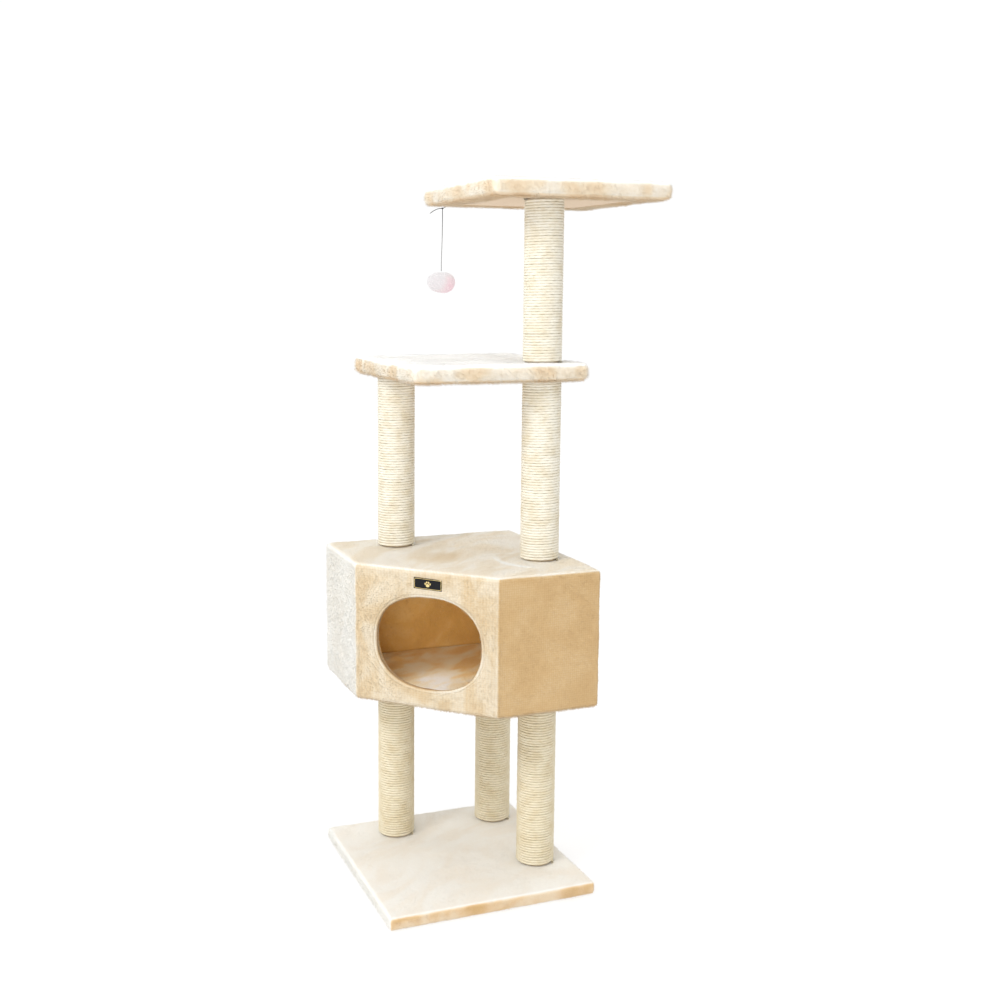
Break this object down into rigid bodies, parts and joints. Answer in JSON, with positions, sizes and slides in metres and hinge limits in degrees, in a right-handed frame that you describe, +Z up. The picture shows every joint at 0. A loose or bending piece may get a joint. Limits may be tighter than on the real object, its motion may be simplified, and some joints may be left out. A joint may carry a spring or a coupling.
{
  "type": "cat tree",
  "caption": "Tall free-standing cat tree with a plush base, rope-wound posts, an enclosed condo with an oval doorway, two plush platforms and a hanging pom-pom.",
  "frame": {"origin": "middle of the base's flat underside, on the floor", "axes": "+Z up; +X and +Y along the base's edges, so that the condo's doorway faces the corner at -X, -Y"},
  "size_m": [0.564, 0.4285, 1.32],
  "materials": {
    "cardboard_tube": "raw kraft board",
    "sisal_rope": "twisted natural sisal, ivory",
    "plywood": "raw plywood",
    "particle_board": "raw particle board",
    "plush_cream": "short faux-fur plush, creamy white",
    "plush_deep": "deeper faux-fur plush, pale peach",
    "plush_condo": "short brushed faux-fur plush, peach beige",
    "plush_lining": "short faux-fur plush, beige in shade",
    "base_felt": "non-woven felt, grey beige",
    "platform_felt": "non-woven felt, beige",
    "brass": "turned",
    "black_steel": "black phosphate",
    "zinc_steel": "zinc plated",
    "label_fabric": "woven satin, black, plain",
    "elastic_string": "elastic string, dark grey",
    "pompom_plush": "fluffy plush, pinkish white"
  },
  "bodies": {
    "tree": {"base_board": "particle_board", "base_plush": "plush_cream", "base_lining": "base_felt", "base_bolts": "zinc_steel", "base_washers": "zinc_steel", "lower_left_tube": "cardboard_tube", "lower_left_rope": "sisal_rope", "lower_left_plugs": "plywood", "lower_back_tube": "cardboard_tube", "lower_back_rope": "sisal_rope", "lower_back_plugs": "plywood", "lower_right_tube": "cardboard_tube", "lower_right_rope": "sisal_rope", "lower_right_plugs": "plywood", "upper_left_tube": "cardboard_tube", "upper_left_rope": "sisal_rope", "upper_left_plugs": "plywood", "upper_right_tube": "cardboard_tube", "upper_right_rope": "sisal_rope", "upper_right_plugs": "plywood", "top_post_tube": "cardboard_tube", "top_post_rope": "sisal_rope", "top_post_plugs": "plywood", "threaded_inserts": "brass", "rope_staples": "zinc_steel", "condo_floor": "particle_board", "condo_roof": "particle_board", "condo_left_wall": "particle_board", "condo_back_wall": "particle_board", "condo_far_wall": "particle_board", "condo_right_wall": "particle_board", "condo_door_wall": "particle_board", "condo_screws": "black_steel", "condo_wall_plush": "plush_condo", "condo_roof_plush": "plush_condo", "condo_under_plush": "plush_condo", "condo_lining": "plush_lining", "condo_floor_plush": "plush_lining", "condo_ceiling_plush": "plush_lining", "door_trim": "plush_condo", "condo_label": "label_fabric", "condo_floor_bolts": "zinc_steel", "condo_roof_bolts": "zinc_steel", "condo_washers": "zinc_steel", "middle_board": "particle_board", "middle_plush": "plush_deep", "middle_lining": "platform_felt", "top_board": "particle_board", "top_plush": "plush_deep", "top_lining": "platform_felt", "joining_stud": "zinc_steel", "platform_studs": "zinc_steel", "tee_nuts": "zinc_steel", "toy_staple": "zinc_steel"},
    "toy_end": {"toy_string_ends": "elastic_string"},
    "toy": {"toy_knot": "elastic_string", "toy_string": "elastic_string", "toy_pompom": "pompom_plush"}
  },
  "joints": [
    {"name": "toy_sway", "type": "hinge", "parent": "tree", "child": "toy_end", "pos_m": [0.0496, 0.199, 1.2865], "axis": [1, 0, 0], "range_deg": [-60, 60]},
    {"name": "toy_swing", "type": "hinge", "parent": "toy_end", "child": "toy", "pos_m": [0.043, 0.199, 1.284], "axis": [0, 1, 0], "range_deg": [-60, 45]}
  ]
}
